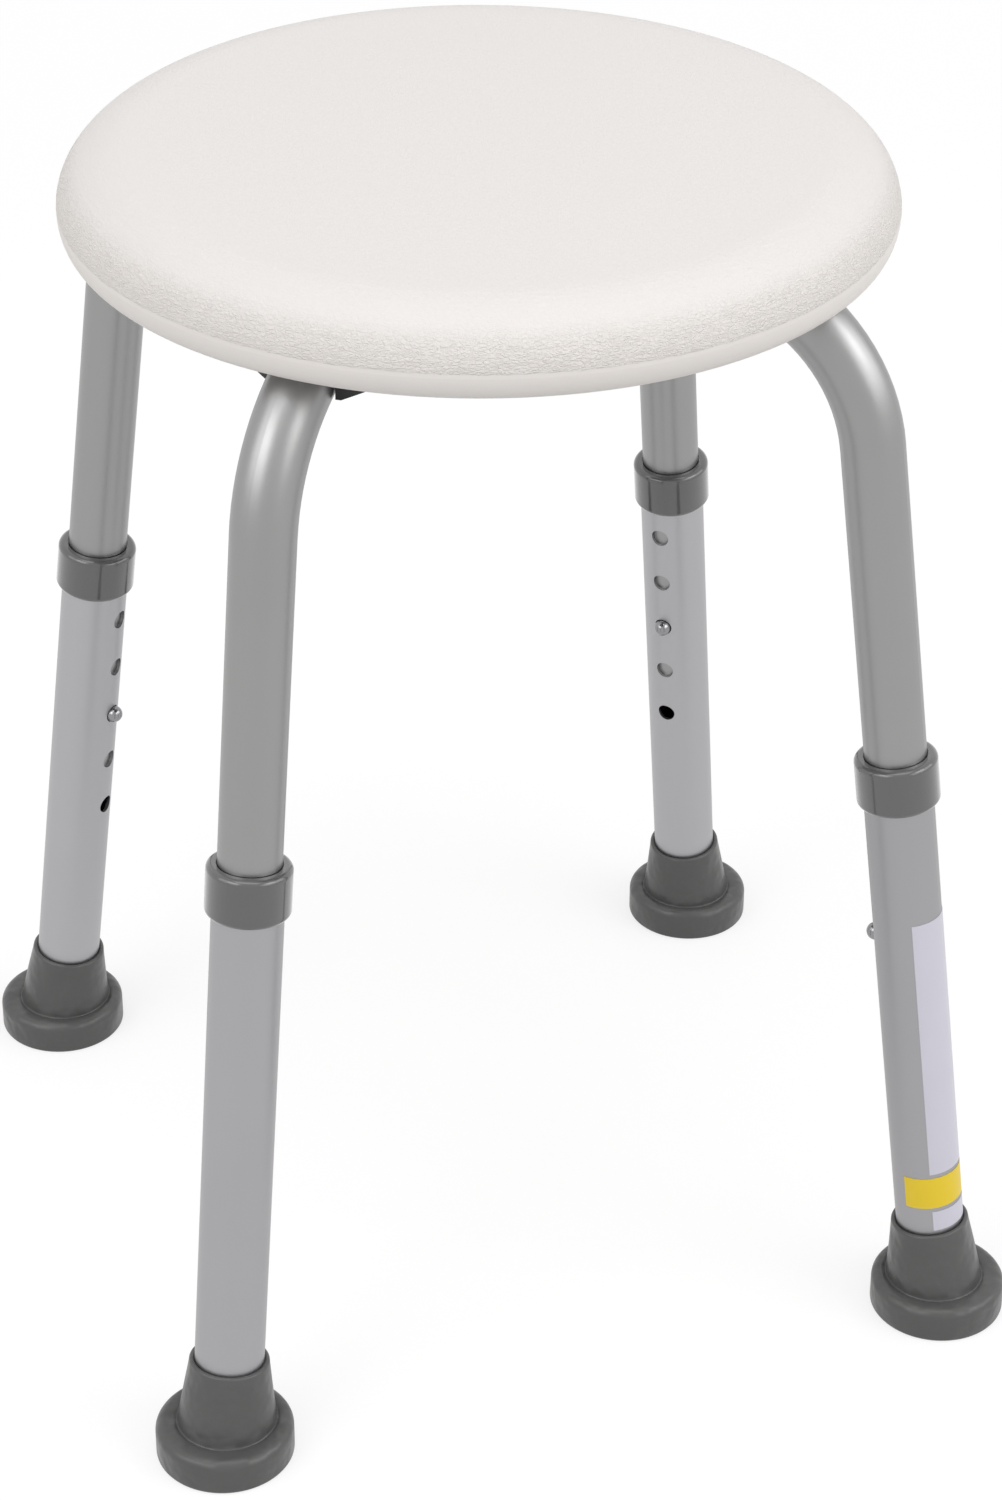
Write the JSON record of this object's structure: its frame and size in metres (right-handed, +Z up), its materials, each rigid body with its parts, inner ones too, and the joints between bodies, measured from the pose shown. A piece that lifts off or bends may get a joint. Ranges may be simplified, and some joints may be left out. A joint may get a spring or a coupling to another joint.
{
  "type": "shower stool",
  "caption": "Round plastic shower stool on crossed U-shaped aluminium tube frames, with telescopic legs, snap buttons and rubber tips.",
  "frame": {"origin": "on the floor under the middle of the seat", "axes": "+Z up; the front of the stool faces -Y; the legs stand on the diagonals between X and Y"},
  "size_m": [0.3738, 0.3738, 0.4953],
  "materials": {
    "seat_plastic": "warm white blow-moulded polyethylene with a leather-like grain",
    "black_plastic": "black moulded polypropylene",
    "grey_plastic": "mid-grey moulded plastic, slightly shiny",
    "grey_rubber": "dark grey moulded rubber",
    "aluminium": "satin anodised aluminium tube",
    "bright_steel": "zinc-plated or stainless steel",
    "spring_steel": "bare stainless spring strip",
    "brass": "plain turned brass",
    "chrome": "bright nickel or chrome plate",
    "white_vinyl": "blank white vinyl",
    "yellow_vinyl": "blank yellow vinyl"
  },
  "bodies": {
    "seat_and_frame": {"seat": "seat_plastic", "threaded_inserts": "brass", "seat_screws": "bright_steel", "screw_washers": "black_plastic", "over_frame": "aluminium", "under_frame": "aluminium", "crossing_rivet": "bright_steel", "saddle_front_left": "black_plastic", "saddle_front_right": "black_plastic", "saddle_back_right": "black_plastic", "saddle_back_left": "black_plastic", "button_spring_front_left": "spring_steel", "button_spring_front_right": "spring_steel", "button_spring_back_right": "spring_steel", "button_spring_back_left": "spring_steel"},
    "leg_front_left": {"leg_tube_front_left": "aluminium", "collar_front_left": "grey_plastic", "rubber_tip_front_left": "grey_rubber", "tip_washer_front_left": "bright_steel"},
    "leg_front_right": {"leg_tube_front_right": "aluminium", "collar_front_right": "grey_plastic", "rubber_tip_front_right": "grey_rubber", "tip_washer_front_right": "bright_steel", "long_label": "white_vinyl", "band_label": "yellow_vinyl", "small_label": "white_vinyl"},
    "leg_back_right": {"leg_tube_back_right": "aluminium", "collar_back_right": "grey_plastic", "rubber_tip_back_right": "grey_rubber", "tip_washer_back_right": "bright_steel"},
    "leg_back_left": {"leg_tube_back_left": "aluminium", "collar_back_left": "grey_plastic", "rubber_tip_back_left": "grey_rubber", "tip_washer_back_left": "bright_steel"},
    "button_front_left": {"snap_button_front_left": "chrome"},
    "button_front_right": {"snap_button_front_right": "chrome"},
    "button_back_right": {"snap_button_back_right": "chrome"},
    "button_back_left": {"snap_button_back_left": "chrome"}
  },
  "joints": [
    {"name": "leg_slide_front_left", "type": "slide", "parent": "seat_and_frame", "child": "leg_front_left", "axis": [0.0923, 0.0923, 0.9914], "range_m": [-0.0508, 0.0508], "deforming": ["snap_button_front_left"]},
    {"name": "leg_slide_front_right", "type": "slide", "parent": "seat_and_frame", "child": "leg_front_right", "axis": [-0.0923, 0.0923, 0.9914], "range_m": [-0.0508, 0.0508], "deforming": ["snap_button_front_right"]},
    {"name": "leg_slide_back_right", "type": "slide", "parent": "seat_and_frame", "child": "leg_back_right", "axis": [-0.0923, -0.0923, 0.9914], "range_m": [-0.0508, 0.0508], "deforming": ["snap_button_back_right"]},
    {"name": "leg_slide_back_left", "type": "slide", "parent": "seat_and_frame", "child": "leg_back_left", "axis": [0.0923, -0.0923, 0.9914], "range_m": [-0.0508, 0.0508], "deforming": ["snap_button_back_left"]},
    {"name": "button_press_front_left", "type": "slide", "parent": "seat_and_frame", "child": "button_front_left", "axis": [-0.7011, -0.7011, 0.1305], "range_m": [0, 0.006], "stiffness_N_per_m": 1500, "springref_m": -0.002, "deforming": ["button_spring_front_left"]},
    {"name": "button_press_front_right", "type": "slide", "parent": "seat_and_frame", "child": "button_front_right", "axis": [0.7011, -0.7011, 0.1305], "range_m": [0, 0.006], "stiffness_N_per_m": 1500, "springref_m": -0.002, "deforming": ["button_spring_front_right"]},
    {"name": "button_press_back_right", "type": "slide", "parent": "seat_and_frame", "child": "button_back_right", "axis": [0.7011, 0.7011, 0.1305], "range_m": [0, 0.006], "stiffness_N_per_m": 1500, "springref_m": -0.002, "deforming": ["button_spring_back_right"]},
    {"name": "button_press_back_left", "type": "slide", "parent": "seat_and_frame", "child": "button_back_left", "axis": [-0.7011, 0.7011, 0.1305], "range_m": [0, 0.006], "stiffness_N_per_m": 1500, "springref_m": -0.002, "deforming": ["button_spring_back_left"]}
  ]
}
